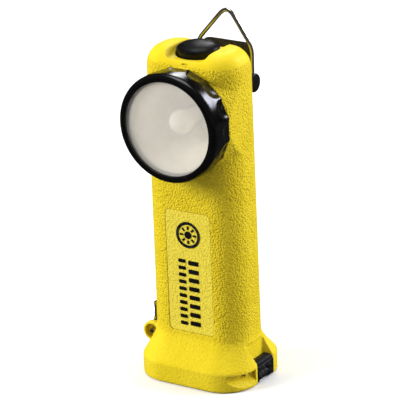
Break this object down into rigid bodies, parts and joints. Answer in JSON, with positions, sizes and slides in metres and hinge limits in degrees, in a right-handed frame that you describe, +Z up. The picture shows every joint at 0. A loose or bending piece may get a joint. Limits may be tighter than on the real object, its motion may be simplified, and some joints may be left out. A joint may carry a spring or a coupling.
{
  "type": "right-angle firefighter flashlight",
  "caption": "Upright hand light with a lamp head at a right angle to its grip, flared foot, push switch on top, back clip, wire hanging ring and hinged tail cap.",
  "frame": {"origin": "centre of the foot's flat underside", "axes": "+Z up along the grip, -Y the way the lamp shines, +X the side with the tail cap's hinge"},
  "size_m": [0.0693, 0.0627, 0.1922],
  "materials": {
    "yellow_nylon": "moulded nylon with a pebbled texture",
    "black_nylon": "satin black moulded nylon",
    "black_rubber": "matt moulded rubber",
    "clear_lens": "clear polycarbonate",
    "mirror_reflector": "vacuum-metallised bowl",
    "spring_steel": "plain bright steel",
    "aluminium": "turned aluminium",
    "contact_brass": "plain brass",
    "circuit_board": "green board",
    "led_phosphor": "yellow phosphor dome",
    "cell_sleeve": "shrink sleeve",
    "red_lead": "insulated wire",
    "black_lead": "insulated wire",
    "grey_foam": "closed-cell foam"
  },
  "bodies": {
    "light": {"body_shell": "yellow_nylon", "label_plate": "yellow_nylon", "lens_gasket": "black_rubber", "neck_seal": "black_rubber", "reflector": "mirror_reflector", "led_dome": "led_phosphor", "led_board": "circuit_board", "heat_sink": "aluminium", "driver_board": "circuit_board", "switch_retainer": "black_nylon", "switch_spring": "spring_steel", "switch_body": "black_nylon", "cell_lower_left": "cell_sleeve", "cell_lower_right": "cell_sleeve", "cell_upper_left": "cell_sleeve", "cell_upper_right": "cell_sleeve", "cell_strap_left": "spring_steel", "cell_strap_right": "spring_steel", "pack_strap": "spring_steel", "pack_base": "black_nylon", "pack_top": "black_nylon", "contact_block": "black_nylon", "contact_spring_left": "spring_steel", "contact_spring_right": "spring_steel", "charge_contact_left": "contact_brass", "charge_contact_right": "contact_brass", "charge_wire_left": "black_lead", "charge_wire_right": "red_lead", "lamp_wire_left": "black_lead", "lamp_wire_right": "red_lead", "switch_wire_left": "black_lead", "switch_wire_right": "red_lead", "led_wire_left": "black_lead", "led_wire_right": "red_lead", "hinge_block": "black_nylon", "hinge_pin": "spring_steel", "latch_pin": "spring_steel", "latch_spring": "spring_steel", "clip_bracket": "black_nylon", "bracket_screw_left": "spring_steel", "bracket_screw_right": "spring_steel", "clip_pin": "spring_steel", "pin_cap_left": "black_nylon", "pin_cap_right": "black_nylon", "clip_spring": "spring_steel"},
    "lens_unit": {"lens": "clear_lens"},
    "face_cap_unit": {"face_cap": "black_nylon"},
    "button": {"switch_boot": "black_rubber", "switch_plunger": "black_nylon"},
    "tail_cap_unit": {"tail_cap": "black_nylon", "tail_seal": "black_rubber", "pack_cushion": "grey_foam"},
    "latch": {"latch_lever": "spring_steel"},
    "clip": {"clip_lever": "black_nylon"},
    "ring": {"hanging_ring": "spring_steel"}
  },
  "joints": [
    {"name": "lens_travel", "type": "slide", "parent": "light", "child": "lens_unit", "axis": [0, -1, 0], "range_m": [0, 0.005]},
    {"name": "face_cap_turn", "type": "hinge", "parent": "lens_unit", "child": "face_cap_unit", "pos_m": [0, -0.025, 0.1448], "axis": [0, -1, 0], "range_deg": [0, 720]},
    {"name": "button_press", "type": "slide", "parent": "light", "child": "button", "axis": [0, 0, -1], "range_m": [0, 0.0025], "stiffness_N_per_m": 800, "deforming": ["switch_spring"]},
    {"name": "tail_cap_swing", "type": "hinge", "parent": "light", "child": "tail_cap_unit", "pos_m": [0.031, 0, 0.0034], "axis": [0, -1, 0], "range_deg": [0, 95]},
    {"name": "latch_press", "type": "hinge", "parent": "light", "child": "latch", "pos_m": [-0.0302, 0, 0.01925], "axis": [0, 1, 0], "range_deg": [0, 9], "stiffness_Nm_per_rad": 0.05},
    {"name": "clip_open", "type": "hinge", "parent": "light", "child": "clip", "pos_m": [0, 0.0224, 0.156], "axis": [1, 0, 0], "range_deg": [0, 22], "stiffness_Nm_per_rad": 0.2},
    {"name": "ring_swing", "type": "hinge", "parent": "light", "child": "ring", "pos_m": [0, 0.0224, 0.156], "axis": [1, 0, 0], "range_deg": [-140, 18]}
  ],
  "couplings": [
    {"joint": "lens_travel", "follows": "face_cap_turn", "m_per_rad": 0.00039789}
  ]
}
